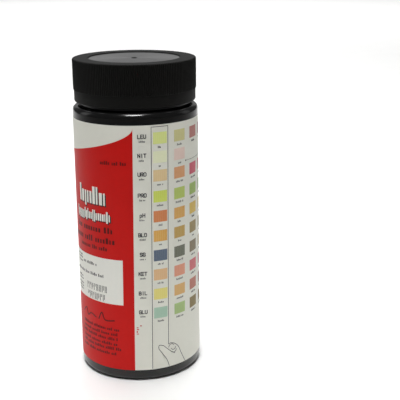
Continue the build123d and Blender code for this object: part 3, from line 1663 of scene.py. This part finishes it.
@dataclass(frozen=True)
class ColourChart:
    """Chart on the right of the label: a life-size strip and the blocks it is compared with.

    Attributes:
        sheet: The label's sheet.
        mark: Ink of its lines and captions.
        first: Left edge of the first column of blocks.
        pitch: Distance from column to column.
        width: Width of a block.
        height: Height of a block.
        strip_left: Left line of the drawn strip.
        strip_right: Right line of the drawn strip.
        strip_top: Top line of the drawn strip.
        strip_foot: How far over the label's lower edge the strip's left line starts.
        finger_top: Height at which the drawn strip goes under the finger.
        line: Width of a line.
        name_middle: Middle of the rows' names.
        name_height: Height of the rows' names.
        name_drop: How far a name's foot lies under its blocks' upper edge.
        name_weight: Width of a name's strokes, in widths of a line.
        note_half: Half the width of the note under a name.
        note: How far the note's foot and head lie under the name's foot.
        caption_drop: How far a caption's foot lies under its block.
        caption_height: Height of a caption.
        first_caption: Width of the first caption, as a share of the others'.
        arrow: Where the arrow in the second row starts, and its line, and where that ends.
        arrow_drop: How far that line lies under the second row's blocks.
    """

    sheet: Sheet
    mark: LabelInk
    first: float = 6.1
    pitch: float = 8.55
    width: float = 5.4
    height: float = 4.35
    strip_left: float = 5.4
    strip_right: float = 11.9
    strip_top: float = 99.7
    strip_foot: float = 0.4
    finger_top: float = 14.1
    line: float = 0.2
    name_middle: float = 2.0
    name_height: float = 1.3
    name_drop: float = 2.0
    name_weight: float = 1.4
    note_half: float = 1.1
    note: Pair = (1.5, 0.8)
    caption_drop: float = 1.55
    caption_height: float = 0.75
    first_caption: float = 0.7
    arrow: Corner = (20.4, 20.9, 62.0)
    arrow_drop: float = 1.0

    def build_row(self, row: ChartRow) -> bpy.types.Object:
        """Build one row of blocks.

        Args:
            row: The row.

        Returns:
            The row's piece.
        """
        blocks = Print(self.sheet, Layer.FIELD)
        for column in range(row.blocks):
            left = self.first + column * self.pitch
            blocks.block(left, left + self.width, row.top - self.height, row.top)
        ink = ChartInk(
            f"{row.test.value}_chart_ink",
            row.stops,
            row.blocks,
            self.first,
            self.pitch,
            self.sheet.radius,
        )
        return blocks.lay(f"{row.test.value}_chart", ink)

    def add_captions(self, marks: Print, row: ChartRow, chance: random.Random) -> None:
        """Add a row's name, its note and the captions under its blocks.

        Args:
            marks: The print that they are added to.
            row: The row.
            chance: Source of the words' lengths.
        """
        low = row.top - self.name_drop
        weight = self.line * self.name_weight
        marks.letters(row.short, self.name_middle, low, self.name_height, weight)
        left = self.name_middle - self.note_half
        right = self.name_middle + self.note_half
        marks.words(left, right, low - self.note[0], low - self.note[1], chance)
        base = row.top - self.height - self.caption_drop
        for column in range(row.blocks):
            middle = self.first + column * self.pitch + self.width / 2
            half = row.caption / 2 * (1.0 if column else self.first_caption)
            marks.words(middle - half, middle + half, base, base + self.caption_height, chance)

    def add_hand(self, marks: Print) -> None:
        """Add the plain drawing of a hand that holds the strip's lower end.

        Args:
            marks: The print that it is added to.
        """
        thumb = [(12.2, 4.9), (11.2, 7.8), (9.4, 10.6), (7.9, 12.9), (8.1, 14.3), (9.8, 13.9)]
        palm = [(9.8, 13.9), (11.2, 12.5), (12.6, 11.2), (14.8, 9.6)]
        back = [(11.9, 14.0), (12.9, 14.4), (14.8, 13.6), (16.5, 11.9), (17.8, 9.0), (19.9, 4.9)]
        knuckle = [(11.9, 12.7), (12.4, 13.6), (13.3, 13.9), (14.3, 13.3)]
        second = [(13.0, 12.1), (13.7, 11.4), (14.7, 11.5), (15.2, 12.4)]
        third = [(12.8, 11.0), (13.9, 10.2), (15.0, 10.4), (15.5, 11.3)]
        for route in (thumb, palm, back, knuckle, second, third):
            marks.stroke(route, self.line)

    def build(self, bottom: float) -> list[bpy.types.Object]:
        """Build the chart.

        Args:
            bottom: Height of the label's lower edge.

        Returns:
            The rows and the piece with all dark marks.
        """
        chance = random.Random(11)
        marks = Print(self.sheet, Layer.MARK)
        made = []
        for row in CHART_ROWS:
            made.append(self.build_row(row))
            self.add_captions(marks, row, chance)
        half = self.line / 2
        left, right, top = self.strip_left, self.strip_right, self.strip_top
        for edge, foot in ((left, bottom + self.strip_foot), (right, self.finger_top)):
            marks.line((edge, foot), (edge, top - half), self.line)
        marks.block(left - half, right + half, top - self.line, top)
        head, start, end = self.arrow
        rule = CHART_ROWS[1].top - self.height - self.arrow_drop
        marks.block(head, start, rule - self.line, rule + 3 * half)
        marks.block(start, end, rule, rule + half)
        self.add_hand(marks)
        made.append(marks.lay("chart_marks", self.mark))
        return made


@dataclass(frozen=True)
class FrontPanel:
    """Coloured field on the left of the label, with its white panel and its print.

    Attributes:
        sheet: The label's sheet.
        red: Ink of the field.
        white: Ink of the panel and the titles.
        dark: Ink of the print on the panel.
        deep: Ink of the print and the shadows on the field.
        edge: Right edge of the field.
        back: Where the field ends at the back.
        tip: Height of the field's pointed upper corner.
        sweep: How steeply its upper edge falls away from that corner.
        crowding: How much the edge's points crowd towards the corner.
        steps: Number of straight pieces in the edge.
        panel: The white panel.
        titles: The titles, and the seed of each one's bars.
        shadow: How far the titles' shadow is moved.
        bar_widths: Least and greatest width of a title's bars, as shares of its height.
        bar_gaps: The same for the gaps between them.
        bar_heads: Heights of the bars, as shares of the title's height.
        bar_feet: How far they reach under the title, in the same shares.
        last_bar: Least width that the title's last bar needs.
        lines: Lines of words over the panel.
        flourishes: Routes of the two pen strokes under the panel.
        pen: Width of those strokes.
        small_feet: Feet of the small lines of words under the panel.
        small_height: Height of such a line.
        small_left: Where it starts, and how much further in it may start.
        small_right: Where it ends, and how much sooner it may end.
        panel_lines: Lines of words on the panel.
        panel_dots: Lines of round-jet dots on the panel.
        notes: Feet of the small notes on the panel.
        note_span: Where such a note starts and ends.
        note_height: Its height.
        side_marks: The small marks to the right of the field.
        dot_rows: Number of dots in a full run.
        dot_starts: Dots at which a group's first run, and its second one, may start.
        dot_size: Width and height of a dot, in shares of the rows' pitch.
        run_pitch: Distance between a group's runs, in the same shares.
        group_pitch: Distance between groups, in the same shares.
        bold: Weight of the larger words.
        plain: Weight of the small words under the panel.
    """

    sheet: Sheet
    red: LabelInk
    white: LabelInk
    dark: LabelInk
    deep: LabelInk
    edge: float = -1.35
    back: float = -62.0
    tip: float = 99.3
    sweep: float = 1.95
    crowding: float = 1.6
    steps: int = 120
    panel: Area = (-34.0, -5.57, 31.25, 49.2)
    titles: tuple[tuple[Area, int], ...] = (
        ((-26.6, -12.3, 69.9, 76.6), 5),
        ((-29.0, -10.1, 63.8, 67.6), 8),
    )
    shadow: Spot = (0.5, -0.5)
    bar_widths: Pair = (0.12, 0.21)
    bar_gaps: Pair = (0.07, 0.11)
    bar_heads: tuple[float, ...] = (0.7, 0.7, 0.74, 1.0)
    bar_feet: tuple[float, ...] = (0.0, 0.0, 0.0, 0.18)
    last_bar: float = 0.5
    lines: tuple[Area, ...] = (
        (-13.9, -3.3, 85.6, 87.0),
        (-29.5, -8.6, 59.2, 61.5),
        (-33.0, -6.7, 55.1, 57.4),
        (-26.7, -11.0, 52.2, 53.8),
    )
    flourishes: tuple[tuple[Spot, ...], ...] = (
        ((-26.7, 24.6), (-24.4, 26.6), (-23.2, 23.9), (-21.0, 25.2), (-18.0, 24.2)),
        ((-16.6, 23.9), (-15.0, 27.0), (-13.4, 24.2), (-9.2, 24.6)),
    )
    pen: float = 0.5
    small_feet: tuple[float, ...] = (20.3, 18.3, 16.3, 14.2, 12.3, 10.2)
    small_height: float = 1.2
    small_left: Pair = (-27.5, 1.5)
    small_right: Pair = (-5.6, 3.0)
    panel_lines: tuple[Area, ...] = ((-25.4, -17.0, 45.4, 46.6), (-31.7, -13.3, 41.3, 42.5))
    panel_dots: tuple[Area, ...] = ((-23.0, -11.7, 35.4, 38.1), (-22.6, -12.9, 31.8, 34.5))
    notes: tuple[float, ...] = (44.8, 46.2, 47.4, 33.2, 34.4, 35.6, 37.4, 38.6)
    note_span: Pair = (-31.0, -26.4)
    note_height: float = 0.7
    side_marks: tuple[Area, ...] = (
        (-0.6, 0.2, 19.6, 19.9),
        (-0.6, -0.2, 20.3, 21.0),
        (-0.5, 0.3, 21.4, 21.8),
        (-0.6, 0.1, 22.2, 22.5),
        (0.7, 1.3, 22.9, 23.3),
    )
    dot_rows: int = 7
    dot_starts: tuple[tuple[int, ...], ...] = ((0, 0, 3), (0, 2, 4))
    dot_size: Pair = (0.8, 0.75)
    run_pitch: float = 1.5
    group_pitch: float = 3.6
    bold: float = 0.34
    plain: float = 0.4

    def build_field(self, bottom: float) -> bpy.types.Object:
        """Build the red field, whose upper edge is a curve that steepens to its tip.

        Args:
            bottom: Height of the label's lower edge.

        Returns:
            The piece.
        """
        field = Print(self.sheet, Layer.FIELD)
        spots = []
        for step in range(self.steps + 1):
            back = (self.edge - self.back) * (1 - step / self.steps) ** self.crowding
            spots.append((self.edge - back, self.tip - self.sweep * math.sqrt(back)))
        field.band([(u, bottom) for u, _ in spots], spots)
        return field.lay("red_field", self.red)

    def build_panel(self) -> bpy.types.Object:
        """Build the white panel.

        Returns:
            The piece.
        """
        panel = Print(self.sheet, Layer.PANEL)
        panel.block(*self.panel)
        return panel.lay("white_panel", self.white)

    def add_title(self, ink: Print, shift: Spot, place: Area, seed: int) -> None:
        """Add the plain bars that stand for a title.

        Args:
            ink: The print that they are added to.
            shift: How far they are moved, for their shadow.
            place: Left, right, bottom and top of the title.
            seed: Seed for the bars' widths and heights.
        """
        chance = random.Random(seed)
        left, right, bottom, top = place
        height = top - bottom
        head = 1.0
        u = left
        while u < right - self.last_bar:
            end = min(u + height * chance.uniform(*self.bar_widths), right)
            foot = chance.choice(self.bar_feet)
            ink.block(
                u + shift[0],
                end + shift[0],
                bottom - foot * height + shift[1],
                bottom + head * height + shift[1],
            )
            head = chance.choice(self.bar_heads)
            u = end + height * chance.uniform(*self.bar_gaps)

    def build_titles(self) -> list[bpy.types.Object]:
        """Build the white titles and the dark shadow behind them.

        Returns:
            The shadow's piece and the titles' piece.
        """
        shadow = Print(self.sheet, Layer.PANEL)
        face = Print(self.sheet, Layer.MARK)
        for place, seed in self.titles:
            self.add_title(shadow, self.shadow, place, seed)
            self.add_title(face, (0.0, 0.0), place, seed)
        return [shadow.lay("title_shadow", self.dark), face.lay("title_bars", self.white)]

    def build_field_print(self) -> bpy.types.Object:
        """Build the deep red lines over and under the panel.

        Returns:
            The piece.
        """
        marks = Print(self.sheet, Layer.MARK)
        chance = random.Random(23)
        for place in self.lines:
            marks.words(*place, chance, self.bold)
        for route in self.flourishes:
            marks.stroke(route, self.pen)
        for foot in self.small_feet:
            left = self.small_left[0] + chance.uniform(0.0, self.small_left[1])
            right = self.small_right[0] - chance.uniform(0.0, self.small_right[1])
            marks.words(left, right, foot, foot + self.small_height, chance, self.plain)
        return marks.lay("field_print", self.deep)

    def build_panel_print(self) -> bpy.types.Object:
        """Build the dark lines, dots and small notes on the panel.

        Returns:
            The piece.
        """
        marks = Print(self.sheet, Layer.MARK)
        chance = random.Random(31)
        for place in self.panel_lines:
            marks.words(*place, chance, self.bold)
        for place in self.panel_dots:
            self.add_dots(marks, place, chance)
        for foot in self.notes:
            marks.words(*self.note_span, foot, foot + self.note_height, chance)
        return marks.lay("panel_print", self.dark)

    def build_side_marks(self) -> bpy.types.Object:
        """Build the few small red marks to the right of the field.

        Returns:
            The piece.
        """
        marks = Print(self.sheet, Layer.MARK)
        for place in self.side_marks:
            marks.block(*place)
        return marks.lay("side_marks", self.red)

    def add_dots(self, marks: Print, place: Area, chance: random.Random) -> None:
        """Add a line of upright runs of round-jet dots in narrow groups.

        Args:
            marks: The print that they are added to.
            place: Left, right, bottom and top of the line.
            chance: Source of the runs' lengths.
        """
        left, right, bottom, top = place
        pitch = (top - bottom) / self.dot_rows
        width, height = (pitch * size for size in self.dot_size)
        u = left
        while u < right - 2 * pitch:
            firsts = [chance.choice(starts) for starts in self.dot_starts]
            for column, first in enumerate(firsts):
                side = u + column * pitch * self.run_pitch
                for row in range(first, self.dot_rows):
                    low = bottom + row * pitch
                    marks.block(side, side + width, low, low + height)
            u += self.group_pitch * pitch

    def build(self, bottom: float) -> list[bpy.types.Object]:
        """Build the left of the label.

        Args:
            bottom: Height of the label's lower edge.

        Returns:
            Its pieces.
        """
        pieces = [self.build_field(bottom), self.build_panel()]
        pieces += self.build_titles()
        pieces += [self.build_field_print(), self.build_panel_print(), self.build_side_marks()]
        return pieces


@dataclass(frozen=True)
class InsidePieces:
    """Strips, liner and drying filling, which keep their CAD solids and get their finishes."""

    def dress(self, node: str, material: bpy.types.Material) -> None:
        """Give a CAD node its material.

        Args:
            node: Name of the node.
            material: The material.
        """
        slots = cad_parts[node].material_slots
        for slot in slots:
            slot.material = material
        log.info("%s: dressed, %d slots", node, len(slots))

    def build(self) -> None:
        """Dress every CAD node that still shows."""
        backing = GrainedSheet(
            "strip_sheet",
            printed(240, 240, 234),
            grain=(0.5, 3.0),
            tones=(0.96, 1.0),
            roughness=(0.28, 0.12),
            depth=0.004,
            stretch=(1.0, 1.0, 0.08),
            specular=0.5,
        )
        self.dress("strip_backings", backing.material())
        for row in CHART_ROWS:
            paper = GrainedSheet(
                f"{row.test.value}_pad_paper",
                row.stops[0],
                grain=(0.3, 4.0),
                tones=(0.82, 1.12),
                roughness=(0.85, 0.1),
                depth=0.05,
                stretch=(1.0, 1.0, 0.35),
                sheen=0.1,
            )
            self.dress(f"{row.test.value}_pads", paper.material())
        white = printed(232, 232, 228)
        # The foam's gaps are painted with shade, at 0.8 of its white.
        foam = CellFoam("liner_foam", white, shade(white, 0.8), cell=0.5, depth=0.02)
        self.dress("liner", foam.material())
        bead = printed(214, 202, 172)
        # The gaps between the beads are painted with shade, at 0.4 of their colour.
        beads = CellFoam("drying_beads", bead, shade(bead, 0.4), cell=1.8, depth=0.5)
        self.dress("desiccant", beads.material())
        card = GrainedSheet(
            "disc_card",
            printed(222, 216, 204),
            grain=(0.7, 6.0),
            tones=(0.88, 1.06),
            roughness=(0.82, 0.12),
            depth=0.03,
        )
        self.dress("desiccant_disc", card.material())


@dataclass(frozen=True)
class Softbox:
    """Soft square-cornered lamp.

    Attributes:
        name: Its name.
        place: Its place, in metres.
        aim: The point that it faces, in metres.
        size: Its width and height, in metres.
        power: Its power, in watts.
        spread: Angle that its light is held within, in degrees.
    """

    name: str
    place: Corner
    aim: Corner
    size: tuple[float, float]
    power: float
    spread: float = 180.0

    def hang(self) -> None:
        """Hang the lamp."""
        data = bpy.data.lights.new(self.name, "AREA")
        data.shape = "RECTANGLE"
        data.size, data.size_y = self.size
        data.energy = self.power
        data.spread = math.radians(self.spread)
        lamp = bpy.data.objects.new(self.name, data)
        bpy.context.collection.objects.link(lamp)
        lamp.location = self.place
        facing = Vector(self.aim) - Vector(self.place)
        lamp.rotation_euler = facing.to_track_quat("-Z", "Y").to_euler()


LAMPS = (
    Softbox("key", (-0.04, -0.36, 1.0), (0.0, 0.02, 0.04), (0.32, 0.2), 0.6, 50.0),
    Softbox("top_lamp", (0.0, 0.05, 0.9), (0.0, 0.05, 0.0), (0.35, 0.35), 0.35, 70.0),
    Softbox("overhead", (0.0, 0.45, 0.8), (0.0, 0.45, 0.0), (0.9, 0.6), 2.0, 90.0),
    Softbox("far_floor", (0.0, 1.7, 1.4), (0.0, 1.7, 0.0), (2.4, 1.6), 22.0, 120.0),
    Softbox("backdrop", (0.0, 3.0, 1.0), (0.0, 0.0, 0.1), (3.0, 1.4), 4.0),
    Softbox("left_edge", (-0.8, 0.25, 0.35), (0.0, 0.0, 0.06), (0.3, 0.6), 0.05, 60.0),
    Softbox("right_edge", (0.8, 0.25, 0.35), (0.0, 0.0, 0.06), (0.3, 0.6), 0.03, 60.0),
)


@dataclass(frozen=True)
class Studio:
    """Camera, pale floor and soft light.

    Attributes:
        lens: Focal length, in millimetres.
        sensor: Width of the sensor, in millimetres.
        clip: Nearest and furthest distance that the camera sees, in metres.
        eye: Place of the camera, in metres.
        right: Its right-hand direction.
        up: Its upward direction.
        floor_size: Width of the floor, in metres.
        room: Strength of the room's even light.
    """

    lens: float = 82.14
    sensor: float = 36.0
    clip: Pair = (0.01, 20.0)
    eye: Corner = (0.0, -0.34503, 0.16383)
    right: Corner = (0.99734913, -0.0724703, -0.00654049)
    up: Corner = (0.02611296, 0.27256988, 0.96178156)
    floor_size: float = 8.0
    room: float = 0.1

    def add_camera(self) -> None:
        """Set the camera at the photograph's viewing angle."""
        data = bpy.data.cameras.new("camera")
        data.lens = self.lens
        data.sensor_width = self.sensor
        data.clip_start, data.clip_end = self.clip
        camera = bpy.data.objects.new("camera", data)
        bpy.context.collection.objects.link(camera)
        right = Vector(self.right).normalized()
        up = Vector(self.up).normalized()
        turned = Matrix((right, up, right.cross(up))).transposed().to_4x4()
        camera.matrix_world = Matrix.Translation(self.eye) @ turned
        bpy.context.scene.camera = camera

    def add_floor(self) -> None:
        """Lay the pale floor."""
        bench = Bench("floor_paper")
        tone = bench.blend(bench.noise(40.0, 3.0), printed(244, 244, 243), printed(248, 248, 247))
        material = bench.finish({"Roughness": 0.6, "Specular IOR Level": 0.2}, {"Base Color": tone})
        half = self.floor_size / 2
        mesh = bpy.data.meshes.new("floor")
        corners = [(-half, -half, 0.0), (half, -half, 0.0), (half, half, 0.0), (-half, half, 0.0)]
        mesh.from_pydata(corners, [], [(0, 1, 2, 3)])
        mesh.materials.append(material)
        floor = bpy.data.objects.new("floor", mesh)
        bpy.context.collection.objects.link(floor)

    def add_room(self) -> None:
        """Fill the room with dim even light."""
        world = bpy.data.worlds.new("room")
        world.use_nodes = True
        background = world.node_tree.nodes["Background"]
        background.inputs["Color"].default_value = (1.0, 1.0, 1.0, 1.0)
        background.inputs["Strength"].default_value = self.room
        bpy.context.scene.world = world

    def build(self) -> None:
        """Set up the studio."""
        self.add_camera()
        self.add_floor()
        self.add_room()
        for lamp in LAMPS:
            lamp.hang()
        bpy.context.scene.view_settings.view_transform = "Standard"


def main() -> None:
    """Build the studio, the bottle, the cap, the label and the pieces inside."""
    logging.basicConfig(level=logging.INFO)
    Studio().build()
    thread = Thread()
    bottle_plastic = BlackPlastic(
        "bottle_plastic",
        printed(14, 14, 14),
        roughness=(0.13, 0.2),
        ripple=(5.0, 0.03),
        grain=(0.3, 0.002),
        specular=0.45,
    )
    BottleBody(bottle_plastic, thread).build()
    ScrewCap(printed(9, 9, 7), thread).build()
    sheet = Sheet()
    label_bottom = cad_span("label")[0]
    WrapLabel(LabelInk("white_film", printed(228, 228, 217), 0.02), sheet).build()
    FrontPanel(
        sheet,
        red=LabelInk("red_ink", printed(200, 12, 5), 0.06),
        white=LabelInk("white_ink", printed(234, 234, 226), 0.02),
        dark=LabelInk("dark_ink", printed(48, 46, 46), 0.1),
        deep=LabelInk("deep_ink", printed(80, 8, 6), 0.1),
    ).build(label_bottom)
    ColourChart(sheet, LabelInk("grey_ink", printed(52, 52, 58), 0.1)).build(label_bottom)
    InsidePieces().build()


if __name__ == "__main__":
    main()
